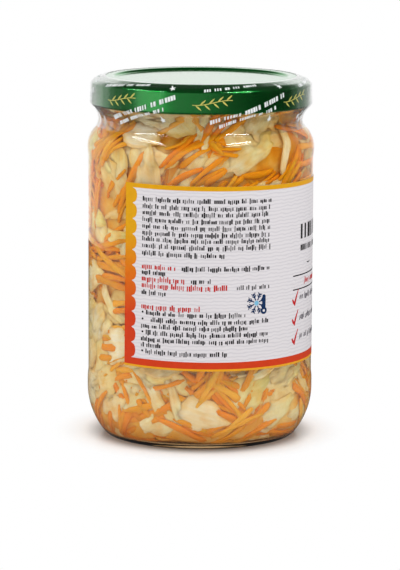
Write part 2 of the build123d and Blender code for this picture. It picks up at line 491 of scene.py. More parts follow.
def glassMaterial():
    # tan towards the foot: a painted reflection of the sauerkraut in the thick base, laid on as the glass's
    # own colour
    tree = newMaterial("clearGlass")
    place = tree.place()
    height = tree.add("SeparateXYZ", {"Vector": place}).outputs["Z"]
    shade = tree.blend(tree.climb(height, *jar["paintedReflectionHeights"]), jar["tint"], jar["clear"])
    ripple = (tree.noise(place, 28.0, 1.0), 0.05, 0.4 * mm)
    glass = tree.skin(shade, 0.0, 0.1, ripple, {"IOR": 1.5, "Transmission Weight": 1.0})
    return tree.finish(lampsPassThrough(tree, glass))


finishPiece(makeGlass(), glassMaterial(), "glass", "glass_jar")


# the brine, which fills the jar, reaches just into its wall and climbs it a little at the edge
brine = dict(level=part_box("sauerkraut")[1][2], intoWall=0.15 * mm, meniscus=0.9 * mm, reach=3.0 * mm,
             surface=(1.0, 0.975, 0.92, 1), tint=(0.985, 0.83, 0.14, 1), density=88.0)


def makeBrine():
    line = cavityLine(-brine["intoWall"], brine["level"] + brine["meniscus"])
    throat = line[-1][0]
    for share in (0.12, 0.3, 0.55, 0.8, 1.0):
        climb = brine["meniscus"] * (1 - share) ** 2
        line.append((throat - brine["reach"] * share, brine["level"] + climb))
    line += [(throat * share, brine["level"]) for share in (0.6, 0.3, 0)]
    return spinLine("brine", line, 128)


def brineMaterial():
    tree = newMaterial("brine")
    ripple = (tree.noise(tree.place(), 60.0, 1.0), 0.04, 0.3 * mm)
    more = {"IOR": 1.33, "Transmission Weight": 1.0}
    water = tree.skin(brine["surface"], 0.0, 0.05, ripple, more)
    tint = tree.add("VolumeAbsorption", {"Color": brine["tint"], "Density": brine["density"]})
    return tree.finish(lampsPassThrough(tree, water), tint.outputs[0])


finishPiece(makeBrine(), brineMaterial(), "sauerkraut", "sauerkraut")


# sauerkraut: cabbage and carrot packed against the glass, over a smaller core
core = dict(inset=3.8 * mm, floorInset=0.7 * mm, deepFrom=22 * mm, swell=1.1 * mm, grain=90.0,
            edge=4 * mm, dome=(2.5 * mm, 2.0 * mm), tones=[
                (0.30, colour(226, 146, 30)), (0.45, colour(238, 176, 70)),
                (0.58, colour(244, 208, 140)), (0.75, colour(232, 158, 44)),
            ])


def makeCore():
    level = brine["level"] - core["edge"]
    deep, near = (np.array(cavityLine(core[name], level)) for name in ("inset", "floorInset"))
    share = np.clip(deep[:, 1:] / core["deepFrom"], 0, 1)
    line = [tuple(point) for point in near + (deep - near) * share]
    line += [(line[-1][0] * 0.55, brine["level"] - core["dome"][0]), (0, brine["level"] - core["dome"][1])]
    piece = spinLine("krautCore", line, 150)
    for vertex in piece.data.vertices:
        bump = noise.noise(vertex.co * core["grain"]) + 0.5 * noise.noise(vertex.co * core["grain"] * 2.3)
        vertex.co += vertex.normal * bump * core["swell"]
    return piece


def coreMaterial():
    tree = newMaterial("packedKraut")
    place = tree.place()
    shade = tree.ramp(tree.noise(place, 85.0, 2.0), core["tones"])
    return tree.skinned(shade, 0.6, 0.1, (tree.noise(place, 240.0, 3.0), 0.6, 1.0 * mm))


finishPiece(makeCore(), coreMaterial(), "sauerkraut", "sauerkraut")


# the inside of the glass as a curve from the floor's edge to the brine's level, by its length
wallCurve = np.array(cavityLine(0, brine["level"])[4:])
wallLength = runLengths(wallCurve)
wallWays = np.gradient(wallCurve, wallLength, axis=0)
wallWays /= np.linalg.norm(wallWays, axis=1)[:, None]

labelLow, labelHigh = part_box("label")
labelArc = (-40.5, 233.0)      # azimuth of the label's edges in degrees, from the front to the right
# onFloor is how near the middle the pieces reach, flatFrom where they lie on the floor instead of the wall
packing = dict(labelTurn=8, labelHeight=6 * mm, onFloor=24 * mm, flatFrom=3 * mm, overHeel=1.5 * mm,
               underTop=2 * mm, underLevel=0.5 * mm, tries=7)


def wallAt(along):
    # radius, height and outward direction of the inside of the glass at a length along it
    radius = np.interp(along, wallLength, wallCurve[:, 0]) + np.minimum(along, 0)
    height = np.interp(along, wallLength, wallCurve[:, 1])
    outX = np.interp(along, wallLength, wallWays[:, 1])
    outZ = -np.interp(along, wallLength, wallWays[:, 0])
    return radius, height, outX, outZ


def behindLabel(turn, height):
    azimuth = degrees(turn)
    if azimuth < labelArc[0]:
        azimuth += 360
    margin = packing["labelHeight"]
    covered = labelArc[0] + packing["labelTurn"] < azimuth < labelArc[1] - packing["labelTurn"]
    return covered and labelLow[2] + margin < height < labelHigh[2] - margin


def layOnGlass(x, y, under, spot, lean):
    # lays a flat shape on the inside of the glass, turned by lean, each point at its depth in the brine
    turn, along = spot
    across = x * cos(lean) - y * sin(lean)
    upward = x * sin(lean) + y * cos(lean)
    if along < -packing["flatFrom"]:
        edge, floor = wallCurve[0]
        ring = np.minimum(np.hypot(edge + along + upward, across), edge + packing["overHeel"])
        angle = turn + np.arctan2(across, edge + along + upward)
        height = floor + jar["innerPushUp"] * (1 - (ring / edge) ** 2) + under
    else:
        reach = np.clip(along + upward, 0, wallLength[-1] - packing["underLevel"])
        radius, height, outX, outZ = wallAt(reach)
        ring = radius - under * outX
        angle = turn + across / wallAt(along)[0]
        height = height - under * outZ
    return np.stack([ring * np.sin(angle), -ring * np.cos(angle), height], axis=1)


def scatter(random, count, apart, others=()):
    # spots as (azimuth, length along the wall), each the loneliest of a few tries
    spots = list(others)
    while len(spots) < count + len(others):
        best, bestGap = None, -1.0
        for attempt in range(packing["tries"]):
            turn = random.uniform(-pi, pi)
            along = random.uniform(-packing["onFloor"], wallLength[-1] - packing["underTop"])
            radius, height = wallAt(along)[:2]
            if random.uniform() > radius / jar["inner"] or behindLabel(turn, height):
                continue
            gap = apart
            for otherTurn, otherAlong in spots:
                side = (turn - otherTurn + pi) % (2 * pi) - pi
                gap = min(gap, hypot(side * radius, along - otherAlong))
            if gap > bestGap:
                best, bestGap = (turn, along), gap
        if best is not None:
            spots.append(best)
    return spots[len(others):]


cabbage = dict(
    seed=11, segments=32, rings=(0.40, 0.70, 0.90, 1.0), edge=0.45, lean=0.7, upright=0.25,
    layers=[        # depth behind the glass, how many, how far apart, and the share of each kind
        dict(depth=(3.6, 5.0), count=60, apart=17, kinds=(0.2, 0.7, 0.1)),
        dict(depth=(2.4, 3.6), count=75, apart=15, kinds=(0.3, 0.5, 0.2)),
        dict(depth=(1.2, 2.4), count=80, apart=14, kinds=(0.35, 0.45, 0.2)),
        dict(depth=(0.12, 1.0), count=84, apart=14, kinds=(0.32, 0.48, 0.20)),
    ],
    # half length, half width, half thickness, corners and their sharpness, waviness, tuck of one side, bend
    rib=((7.0, 12.0), (4.4, 7.2), (0.6, 1.0), (4, 6), 9.0, 0.5, 1.0, 0.012),
    leaf=((8.5, 14.5), (5.2, 8.8), (0.26, 0.42), (5, 8), 16.0, 0.75, 2.2, 0.012),
    ribbon=((9.0, 18.0), (1.5, 3.2), (0.35, 0.6), (4, 5), 9.0, 0.5, 1.2, 0.035),
    leafy=dict(rib=0.0, ribbon=0.35, leaf=0.42),      # how much of the leaf's green-yellow each kind has
    pale=[
        (0.0, colour(255, 239, 220)), (0.35, colour(255, 247, 242)),
        (0.65, colour(255, 240, 214)), (1.0, colour(255, 231, 212)),
    ],
    green=[
        (0.0, colour(252, 228, 156)), (0.3, colour(240, 230, 124)),
        (0.5, colour(246, 236, 170)), (0.75, colour(253, 226, 176)), (1.0, colour(246, 204, 116)),
    ],
    # the soaked tan tints random patches, and at each piece's rim it is also painted shade for the gaps
    # between pieces and the brine seen through thin edges
    soakedAndEdgeShade=colour(240, 184, 88), flecks=(0.90, 0.84, 0.68, 1), veins=(0.97, 0.86, 0.58, 1),
)


def leafFaces(segments, rings):
    # a closed pad: a middle point, rings out to the edge, and the same again on the back
    faces = []
    sideSize = 1 + rings * segments
    for side in (0, 1):
        centre = side * sideSize
        starts = [centre + 1 + ring * segments for ring in range(rings)] + [2 * sideSize]
        for k in range(segments):
            after = (k + 1) % segments
            fan = [(centre, centre + 1 + k, centre + 1 + after)]
            fan += [(low + k, high + k, high + after, low + after) for low, high in zip(starts, starts[1:])]
            faces += [face[::-1] for face in fan] if side else fan
    return faces


def leafShape(random, kind):
    # a piece of cabbage laid flat: x, y and depth of each point, and its share of the way out
    segments = cabbage["segments"]
    longs, shorts, thicks, corners, sharp, wavy, tuck, bent = cabbage[kind]
    long, short, thick = random.uniform(*longs), random.uniform(*shorts), random.uniform(*thicks)
    angle = np.linspace(0, 2 * pi, segments, endpoint=False)
    sides = random.integers(corners[0], corners[1] + 1)
    cuts = np.zeros(segments)
    for side in range(sides):
        facing = 2 * pi * (side + random.uniform(-0.28, 0.28)) / sides + 0.4
        reach = random.uniform(0.78, 1.05)
        cuts += (np.maximum(np.cos(angle - facing), 0) / reach) ** sharp
    outline = np.minimum(cuts ** (-1 / sharp), 1.25)
    for wave in (3, 5, 7, 9, 12):
        outline += random.normal() * 0.035 * np.cos(wave * angle + random.uniform(0, 6.3))
    skew = random.uniform(-0.4, 0.4)
    bend = random.uniform(-1, 1) * bent
    phase = random.uniform(0, 6.3, 4)
    creaseWay = random.choice([-1.0, 1.0])
    tuckTurn = random.uniform(0, 2 * pi)
    tuckDepth = random.uniform(0.2, 1.0) * tuck

    def place(share):
        x = long * outline * share * np.cos(angle)
        y = short * outline * share * np.sin(angle)
        y = y * (1 + skew * x / long) + bend * (x * x - long * long / 3)
        wave = np.sin(0.42 * x + phase[0]) * np.sin(0.5 * y + phase[1])
        wave += 0.6 * np.sin(0.8 * x + 0.5 * y + phase[2])
        crease = np.abs(np.sin(0.22 * x + 0.38 * y * creaseWay + phase[3]))
        reach = (x * cos(tuckTurn) + y * sin(tuckTurn)) / max(short, 3.0)
        relief = wavy * (0.8 + 0.5 * wave + 1.2 * crease)
        return x, y, relief + tuckDepth * np.maximum(reach - 0.1, 0) ** 1.5

    columns = []
    for side in (0, 1):
        x, y, relief = (np.array([values.mean()]) for values in place(0.0))
        columns.append((x, y, relief + side * 2 * thick, np.zeros(1)))
        for share in cabbage["rings"]:
            x, y, relief = place(share)
            thinner = thick * 0.75 * share ** 7
            level = relief + (2 * thick - thinner if side else thinner)
            columns.append((x, y, level, np.full(segments, share)))
    x, y, relief = place(1.0 + cabbage["edge"] * thick / short)
    columns.append((x, y, relief + thick, np.full(segments, 1.0)))
    return [np.concatenate([column[i] for column in columns]) for i in range(4)]


def makeCabbage():
    random = np.random.default_rng(cabbage["seed"])
    faces = leafFaces(cabbage["segments"], len(cabbage["rings"]))
    heap = Heap()
    for layer in cabbage["layers"]:
        layer["spots"] = scatter(random, layer["count"], layer["apart"] * mm)
        for spot in layer["spots"]:
            kind = str(random.choice(["rib", "leaf", "ribbon"], p=layer["kinds"]))
            x, y, level, share = leafShape(random, kind)
            lean = random.normal(0, cabbage["lean"])
            lean += pi / 2 if random.uniform() < cabbage["upright"] else 0
            shelf = random.uniform(*layer["depth"])
            places = layOnGlass(x * mm, y * mm, (shelf + level) * mm, spot, lean)
            shade = random.uniform()
            leafy = cabbage["leafy"][kind] + random.uniform(-0.15, 0.15) + 0.45 * x / max(x.max(), 1.0)
            heap.put(places, faces, shade, share, np.clip(leafy, 0, 1), 0.5 + y / 40)
    return heap.piece("cabbage")


def cabbageMaterial():
    tree = newMaterial("cabbage")
    place = tree.place()
    tone = tree.tone()
    shade, share, leafy = tree.split(tone["Color"])
    flesh = tree.blend(leafy, tree.ramp(shade, cabbage["pale"]), tree.ramp(shade, cabbage["green"]))
    soakAndEdgeShade = tree.ramp(tree.noise(place, 130.0, 2.0), [(0.46, grey(0)), (0.70, grey(0.6))])
    # towards each piece's rim the colour goes to the soaked tan: painted shade at the edges, where pieces
    # meet and brine shows through
    soakAndEdgeShade = tree.math("MAXIMUM", soakAndEdgeShade, tree.climb(share, 0.72, 1.0, 0.5))
    flecks = tree.ramp(tree.noise(place, 380.0, 4.0), [(0.40, cabbage["flecks"]), (0.60, grey(1))])
    # fibres along the piece, by how far across it a point is
    across = tree.math("MULTIPLY_ADD", tone["Alpha"], 30.0, tree.math("MULTIPLY", shade, 90.0))
    across = tree.math("ADD", across, tree.noise(place, 120.0, 1.0))
    fibre = tree.add("TexNoise", {"W": across, "Scale": 1.0, "Detail": 2.0},
                     noise_dimensions="1D").outputs["Fac"]
    veins = tree.ramp(fibre, [(0.36, cabbage["veins"]), (0.56, grey(1))])
    relief = tree.math("MULTIPLY_ADD", fibre, 0.35, tree.noise(place, 260.0, 3.0))
    flesh = tree.blend(0.6, tree.blend(soakAndEdgeShade, flesh, cabbage["soakedAndEdgeShade"]), flecks, "MULTIPLY")
    flesh = tree.blend(0.4, flesh, veins, "MULTIPLY")
    return tree.skinned(flesh, 0.42, 0.12, (relief, 0.5, 0.7 * mm), {
        "IOR": 1.4, "Subsurface Weight": 0.5, "Subsurface Radius": (1.0, 1.0, 0.95),
        "Subsurface Scale": 1.5 * mm,
    })


carrot = dict(
    seed=29, sides=7, rings=9, wide=(0.75, 1.45), thick=(0.4, 0.7), long=(12, 30), bend=0.15,
    lean=(0.35, 0.75), fan=0.15, loose=(3.5, 3.6),
    thinAbove=labelHigh[2] - 4 * mm, thinning=0.42,      # fewer of them over the label
    tones=[
        (0.0, colour(243, 145, 10)), (0.35, colour(248, 161, 26)),
        (0.7, colour(242, 167, 8)), (1.0, colour(252, 190, 70)),
    ],
    cloudy=(0.94, 0.82, 0.60, 1),
    layers=[        # depth behind the glass, bundles, how far apart, and strips in a bundle
        dict(depth=(3.2, 4.8), bundles=45, apart=17, each=(4, 7)),
        dict(depth=(2.0, 3.4), bundles=50, apart=16, each=(4, 8)),
        dict(depth=(0.9, 2.2), bundles=56, apart=16, each=(5, 9)),
        dict(depth=(0.12, 1.3), bundles=64, apart=15, each=(4, 9)),
    ],
)


def shredFaces(sides, rings):
    faces = []
    last = (rings - 1) * sides
    for start in range(0, last, sides):
        for k in range(sides):
            after = (k + 1) % sides
            faces.append((start + k, start + after, start + sides + after, start + sides + k))
    return faces + [tuple(range(sides))[::-1], tuple(range(last, last + sides))]


def shredShape(random, long):
    # a grated strip of carrot laid flat along x, its ends tucked a little deeper
    sides, rings = carrot["sides"], carrot["rings"]
    wide, thick = random.uniform(*carrot["wide"]), random.uniform(*carrot["thick"])
    bend = random.normal(0, carrot["bend"]) / long
    wave = random.uniform(0, 6.3)
    tuck = random.uniform(0.2, 1.6, 2)
    x, y, level, share = [], [], [], []
    for ring in range(rings):
        part = ring / (rings - 1)
        along = (part - 0.5) * long
        taper = min(1.0, 0.62 + 3.0 * min(part, 1 - part))
        width = wide * (1 + 0.15 * sin(along * 0.5 + wave))
        for k in range(sides):
            turn = 2 * pi * (k + 0.5) / sides
            corner = (abs(cos(turn)) ** 6 + abs(sin(turn)) ** 6) ** (-1 / 6)
            x.append(along)
            y.append(width * taper * corner * cos(turn) + bend * along * along)
            deeper = tuck[0 if part < 0.5 else 1] * abs(2 * part - 1) ** 2.5
            deeper += 0.25 * (1 + sin(along * 0.3 + wave))
            level.append(thick * (1 - corner * sin(turn)) + deeper)
            share.append(part)
    return np.array(x), np.array(y), np.array(level), np.array(share)


def makeCarrot():
    random = np.random.default_rng(carrot["seed"])
    faces = shredFaces(carrot["sides"], carrot["rings"])
    heap = Heap()
    for layer, beside in zip(carrot["layers"], cabbage["layers"]):
        for spot in scatter(random, layer["bundles"], layer["apart"] * mm, beside["spots"]):
            if wallAt(spot[1])[1] > carrot["thinAbove"] and random.uniform() < carrot["thinning"]:
                continue
            lean = random.normal(*carrot["lean"])
            for strip in range(random.integers(layer["each"][0], layer["each"][1] + 1)):
                x, y, level, share = shredShape(random, random.uniform(*carrot["long"]))
                y += random.normal(0, carrot["loose"][1])
                x += random.normal(0, carrot["loose"][0])
                shelf = random.uniform(*layer["depth"])
                turned = lean + random.normal(0, carrot["fan"])
                places = layOnGlass(x * mm, y * mm, (shelf + level) * mm, spot, turned)
                heap.put(places, faces, random.uniform(), share, 1.0, 1.0)
    return heap.piece("carrot")


def carrotMaterial():
    tree = newMaterial("carrot")
    place = tree.place()
    shade = tree.ramp(tree.split(tree.tone()["Color"])["Red"], carrot["tones"])
    cloud = tree.ramp(tree.noise(place, 160.0, 2.0), [(0.35, carrot["cloudy"]), (0.62, grey(1))])
    grain = (tree.noise(place, 600.0, 2.0), 0.4, 0.3 * mm)
    return tree.skinned(tree.blend(0.7, shade, cloud, "MULTIPLY"), 0.45, 0.12, grain, {
        "IOR": 1.4, "Subsurface Weight": 0.3, "Subsurface Radius": (1.0, 0.8, 0.6),
        "Subsurface Scale": 0.9 * mm,
    })


finishPiece(makeCabbage(), cabbageMaterial(), "sauerkraut", "sauerkraut")
finishPiece(makeCarrot(), carrotMaterial(), "sauerkraut", "sauerkraut")


# the lid
lidLow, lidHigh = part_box("lid")
lid = dict(
    skirt=lidHigh[0], top=lidHigh[2], bottom=lidLow[2], skin=0.5 * mm, curl=0.8 * mm,
    lowBevel=(1.55 * mm, 1.25 * mm), highBevel=(3.45 * mm, 1.25 * mm), crest=3.6 * mm,
    crestWall=0.8 * mm, panelDrop=0.85 * mm, corner=0.55 * mm, steps=180,
    greens=[(0.3, colour(0, 150, 50)), (0.7, colour(0, 164, 60))],
)


def lidOutline():
    # from the crest's outer edge down the two bevels and the skirt
    edge = lid["skirt"] - lid["lowBevel"][0] - lid["highBevel"][0]
    return [
        (edge, lid["top"]),
        (edge + lid["highBevel"][0], lid["top"] - lid["highBevel"][1]),
        (lid["skirt"], lid["top"] - lid["highBevel"][1] - lid["lowBevel"][1]),
        (lid["skirt"], lid["bottom"] + lid["curl"]),
    ]


def makeLid():
    outline = lidOutline()
    edge = outline[0][0] - lid["crest"]
    panel = lid["top"] - lid["panelDrop"]
    outside = [(0, panel), (edge - lid["crestWall"], panel), (edge, lid["top"])] + outline
    outside = roundedLine(outside, lid["corner"])
    inside = besideLine(outside, -lid["skin"])[::-1]
    curl = (lid["skirt"] - lid["curl"], lid["bottom"] + lid["curl"])
    line = supportedLine(outside, 0.3 * mm)
    line += arcPoints(curl, lid["curl"], 0, -180, 10)[1:]
    line += [(curl[0] - lid["curl"], curl[1] + 0.4 * mm)]
    line += [point for point in inside if point[1] > curl[1] + lid["curl"]]
    line[-1] = (0, panel - lid["skin"])
    return spinLine("lidShell", line, lid["steps"])


def lidMaterial():
    # green lacquer that tin shines through, so it mirrors the room in green
    tree = newMaterial("greenLacquer")
    place = tree.place()
    mottled = tree.ramp(tree.noise(place, 35.0, 2.0), lid["greens"])
    return tree.skinned(mottled, 0.2, 0.5, (tree.noise(place, 900.0, 2.0), 0.05, 0.05 * mm), {
        "Metallic": 0.94, "IOR": 1.5, "Coat Weight": 1.0, "Coat Roughness": 0.05, "Coat IOR": 1.3,
    })


finishPiece(makeLid(), lidMaterial(), "lid", "lid")


# the clear security film
film = dict(gap=0.08 * mm, thick=0.13 * mm, hem=0.6 * mm, tuck=-60, turn=45, sag=0.75 * mm, steps=240,
            pleats=0.10 * mm, loosePleats=0.30 * mm, finePleats=0.06 * mm, closest=-0.02 * mm,
            looseFrom=2 * mm, looseOver=3 * mm)


def filmLine():
    # over the lid's edge, under its curl and down the neck onto the shoulder
    outline = lidOutline()
    over = roundedLine([(outline[0][0] - film["hem"], lid["top"])] + outline, lid["corner"])
    curl = (lid["skirt"] - lid["curl"], lid["bottom"] + lid["curl"])
    under = arcPoints(curl, lid["curl"], 0, film["tuck"], 4)
    hollow = neckArcs(jar["band"], jar["shoulderRadius"], jar["neck"], jar["neckFillet"])[1]
    tuck, leave = Vector(under[-1]), Vector((jar["neck"], hollow[1]))
    across = (tuck - leave).normalized()
    sag = [tuck.lerp(leave, share) + Vector((-across.y, across.x)) * film["sag"] * 4 * share * (1 - share)
           for share in (0.15, 0.3, 0.45, 0.6, 0.75, 0.9)]
    neck = arcPoints(hollow, jar["neckFillet"], 180, 180 + film["turn"], 8)
    return supportedLine(over, 0.3 * mm) + under[1:] + [tuple(point) for point in sag] + neck


filmInside = besideLine(filmLine(), film["gap"])
filmOutside = besideLine(filmLine(), film["gap"] + film["thick"])


def crinkle(place):
    # pleats that run down the film, more of them where it is drawn in under the lid
    turn = atan2(place.x, -place.y)
    ring = Vector((cos(turn), sin(turn), 0))
    loose = min(max((lid["bottom"] + film["looseFrom"] - place.z) / film["looseOver"], 0.0), 1.0)
    pleats = noise.noise(ring * 11 + Vector((0, 0, place.z * 90)))
    fine = noise.noise(ring * 30 + Vector((5, 0, place.z * 160)))
    swell = (film["pleats"] + film["loosePleats"] * loose) * (0.5 + pleats) + film["finePleats"] * fine
    return max(swell, film["closest"])


def makeFilm():
    line = filmInside + filmOutside[::-1] + [filmInside[0]]
    piece = spinLine("sealFilm", line, film["steps"])
    for vertex in piece.data.vertices:
        radial = Vector((vertex.co.x, vertex.co.y, 0)).normalized()
        vertex.co += radial * crinkle(vertex.co)
    return piece


def filmMaterial():
    # clear from straight on, and mirroring the room towards its edges
    tree = newMaterial("clearFilm")
    normal = tree.bump(tree.noise(tree.place(), 170.0, 2.0), 0.25, 0.3 * mm)
    facing = tree.add("LayerWeight", {"Blend": 0.5, "Normal": normal}).outputs["Facing"]
    edge = tree.math("MULTIPLY_ADD", tree.math("POWER", facing, 3.0), 0.9, 0.018)
    clear = tree.add("BsdfTransparent", {"Color": grey(0.985)}).outputs[0]
    wires = {"Color": grey(1), "Roughness": 0.05, "Normal": normal}
    return tree.finish(tree.mix(edge, clear, tree.add("BsdfGlossy", wires).outputs[0]))


finishPiece(makeFilm(), filmMaterial(), "film", "seal_film")


# the paper label
paper = dict(
    inner=jar["panel"] + 0.02 * mm, thick=0.12 * mm, tilt=0.85, steps=220,
    top=jar["shoulder"] - jar["highBand"] - jar["blend"] - 6.6 * mm,
    bottom=jar["heelHeight"] + jar["lowBand"] + jar["blend"] + 7.1 * mm,
    waves=[(0.0, colour(211, 207, 212)), (0.25, colour(222, 218, 221)), (1.0, colour(226, 222, 225))],
)
paper["outer"] = paper["inner"] + paper["thick"]
paper["middle"] = (paper["top"] + paper["bottom"]) / 2
paper["height"] = paper["top"] - paper["bottom"]
paper["left"] = radians(labelArc[0]) * paper["outer"]
paper["right"] = radians(labelArc[1]) * paper["outer"]


def onLabel(along, below, lift=0.0):
    # a place on the label: arc length from the front, depth under its top edge, height above the paper
    radius = paper["outer"] + lift
    x, y, z = around(along / paper["outer"], radius, paper["height"] / 2 - below)
    tilt = radians(paper["tilt"])
    place = Vector((x * cos(tilt) + z * sin(tilt), y, 0)).normalized() * radius
    return (place.x, place.y, paper["middle"] + z * cos(tilt) - x * sin(tilt))


def makePaper():
    half = paper["height"] / 2
    rows = [half - paper["height"] * i / 12 for i in range(13)]
    line = [(paper["outer"], z) for z in rows] + [(paper["inner"], z) for z in reversed(rows)]
    line.append(line[0])
    piece = spinLine("labelPaper", line, paper["steps"], labelArc[0], labelArc[1] - labelArc[0])
    bpy.ops.object.mode_set(mode="EDIT")
    bpy.ops.mesh.select_all(action="DESELECT")
    bpy.ops.mesh.select_non_manifold()
    bpy.ops.mesh.edge_face_add()
    bpy.ops.mesh.select_all(action="SELECT")
    bpy.ops.mesh.normals_make_consistent(inside=False)
    bpy.ops.object.mode_set(mode="OBJECT")
    for vertex in piece.data.vertices:
        turn = atan2(vertex.co.x, -vertex.co.y)
        if turn < radians(labelArc[0]) - 0.01:
            turn += 2 * pi
        lift = hypot(vertex.co.x, vertex.co.y) - paper["outer"]
        vertex.co = onLabel(turn * paper["outer"], half - vertex.co.z, lift)
    return piece


def paperMaterial():
    tree = newMaterial("labelPaper")
    place = tree.place()
    wires = {"Vector": place, "Scale": 240.0, "Distortion": 3.2, "Detail": 1.0, "Detail Scale": 1.3}
    wave = tree.add("TexWave", wires, bands_direction="Z").outputs["Fac"]
    grain = (tree.noise(place, 1500.0, 2.0), 0.1, 0.05 * mm)
    return tree.skinned(tree.ramp(wave, paper["waves"]), 0.45, 0.3, grain)


finishPiece(makePaper(), paperMaterial(), "label", "label")


class Print(Heap):
    # thin closed slabs of ink on a curved surface
    def __init__(self, surface, sunk=0.04 * mm):
        super().__init__()
        self.surface = surface      # a place from two measures in metres and a height above the surface
        self.level, self.sunk = 0.03 * mm, sunk
        self.cut = 1.5      # longest step along a shape, in millimetres
        self.place(0, 0)

    def ribbon(self, pairs, *shades, over=0):
        # pairs of points across the shape, in millimetres, from one end to the other
        pairs = np.array(pairs, dtype=float)
        parts = 1 + int(np.linalg.norm(pairs[:, 1] - pairs[:, 0], axis=1).max() / self.cut)
        shares = np.linspace(0, len(shades) - 1, len(pairs))
        tones = np.stack([np.interp(shares, range(len(shades)), channel) for channel in zip(*shades)])
        places, faces = [], []
        for low, high in pairs:
            for lift in (self.level * (1 + over), -self.sunk):
                for part in range(parts + 1):
                    along, below = self.origin + self.turned @ (low + (high - low) * part / parts)
                    places.append(self.surface(along * mm, below * mm, lift))
        row = 2 * (parts + 1)
        last = row * (len(pairs) - 1)
        for a in range(0, last, row):
            b = a + parts + 1
            for k in range(parts):
                faces.append((a + k, a + k + row, a + k + row + 1, a + k + 1))
                faces.append((b + k, b + k + 1, b + k + row + 1, b + k + row))
            faces += [(a, b, b + row, a + row), (a + parts, a + parts + row, b + parts + row, b + parts)]
        for a, facing in ((0, 1), (last, -1)):
            ends = [(a + k, a + k + 1, a + parts + 2 + k, a + parts + 1 + k) for k in range(parts)]
            faces += [face[::facing] for face in ends]
        self.put(np.array(places), faces, *np.repeat(tones, row, axis=1))

    def place(self, along, below, lean=0.0):
        # where the next shapes are drawn from, and how far they are turned, in degrees
        lean = radians(lean)
        self.origin = np.array([along, below])
        self.turned = np.array([[cos(lean), sin(lean)], [-sin(lean), cos(lean)]])

    def band(self, left, right, top, bottom, shade):
        along = np.linspace(left, right, max(2, int((right - left) / self.cut)))
        self.ribbon([((x, bottom), (x, top)) for x in along], shade)

    def stroke(self, points, widths, shade, over=0):
        # a line with a width at each of its points
        points = np.array(points, dtype=float)
        ways = np.gradient(points, axis=0)
        ways /= np.linalg.norm(ways, axis=1)[:, None]
        widths = np.broadcast_to(widths, len(points))
        across = np.stack([-ways[:, 1], ways[:, 0]], axis=1) * widths[:, None] / 2
        self.ribbon(list(zip(points + across, points - across)), shade, over=over)

    def oval(self, centre, wide, tall, shade, over=0):
        # by its half width and half height
        pairs = []
        for turn in np.linspace(0.06, pi - 0.06, 11):
            along = centre[0] - wide * cos(turn)
            half = tall * sin(turn)
            pairs.append(((along, centre[1] + half), (along, centre[1] - half)))
        self.ribbon(pairs, shade, over=over)

    def words(self, random, left, right, below, shade, tall=1.25, pitch=0.74, slant=0.0, capitals=False):
        # a row of made-up words, only uneven upright strokes with gaps between the words
        along = left
        while along < right - pitch:
            for letter in range(random.integers(2, 9)):
                if along > right - pitch:
                    break
                rise = tall if capitals else tall * random.choice([1.0, 1.0, 0.85, 1.4])
                drop = 0 if capitals else tall * random.choice([0, 0, 0, 0.3])
                wide = pitch * random.choice([0.45, 0.6, 0.8])
                lean = slant * (rise + drop)
                foot, head = below + tall / 2 + drop, below + tall / 2 - rise
                self.ribbon([((x, foot), (x + lean, head)) for x in (along, along + wide)], shade)
                along += pitch
            along += pitch * random.uniform(1.0, 1.4)


def inkMaterial(name, roughness):
    # the ink's colour comes with each shape, and is a little uneven over it
    tree = newMaterial(name)
    uneven = tree.ramp(tree.noise(tree.place(), 500.0, 2.0), [(0.3, grey(0.93)), (0.7, grey(1))])
    shade = tree.blend(1.0, tree.tone()["Color"], uneven, "MULTIPLY")
    return tree.skinned(shade, roughness, 0.12)


inks = dict(
    yellow=colour(226, 163, 12), orange=colour(224, 112, 12), red=colour(212, 62, 24),
    line=colour(234, 166, 36), dark=colour(30, 26, 30), heading=colour(196, 34, 30),
    grey=colour(92, 88, 96), navy=colour(20, 50, 92), blue=colour(128, 190, 222),
    white=colour(228, 224, 226), check=colour(194, 22, 26), leafPale=colour(196, 212, 138),
    leafDark=colour(110, 156, 70), cream=colour(240, 226, 180),
)
border = dict(top=1.7, bottom=3.35, line=0.8, side=3.2, bump=2.0, bumps=11)
# rows of words: millimetres under the panel's top, and where they start and end as shares of the width
textBlock = dict(seed=5, left=-22.8, wide=51.0, top=1.7, dark=[
    (4.0, 0, 1), (6.65, 0, 1), (9.05, 0, 1), (11.6, 0, 1), (14.1, 0, 1), (16.6, 0, 1), (18.9, 0, 1),
    (21.4, 0, 1), (24.2, 0, 0.64), (29.3, 0.31, 1), (31.5, 0, 0.2), (33.9, 0.38, 0.54), (36.4, 0.72, 1),
    (39.1, 0, 0.21), (46.7, 0.04, 0.8), (49.3, 0.08, 1), (51.7, 0, 0.82), (54.2, 0.04, 1), (56.7, 0, 1),
    (59.0, 0, 0.17), (61.4, 0.04, 0.69),
], heading=[(29.3, 0, 0.27), (33.9, 0, 0.35), (36.4, 0, 0.67), (44.4, 0, 0.46)],
                 bullets=(46.7, 49.3, 54.2, 61.4))
icon = dict(at=(22.1, 44.0), arms=8, reach=3.9, branches=(2.1, 3.0), stem=(25.3, 41.6, 47.0))
front = dict(seed=8, title=(46, 116, 19.2), subtitle=(46, 112, 25.4), arc=(52.5, 31.4), rules=(35.7, 41.0),
             claim=(49.5, 112, 38.35), checks=(44.2, 51.8, 59.2), checkAt=41.3, rulesTo=118,
             wordsTo=80, picture=(98, 53.5), leaves=11)
notes = dict(seed=13, left=134, right=166, rules=(19, 55),
             rows=(7, 10, 13, 16, 22, 25, 28, 31, 34, 40, 43, 46, 49, 52, 58, 61))


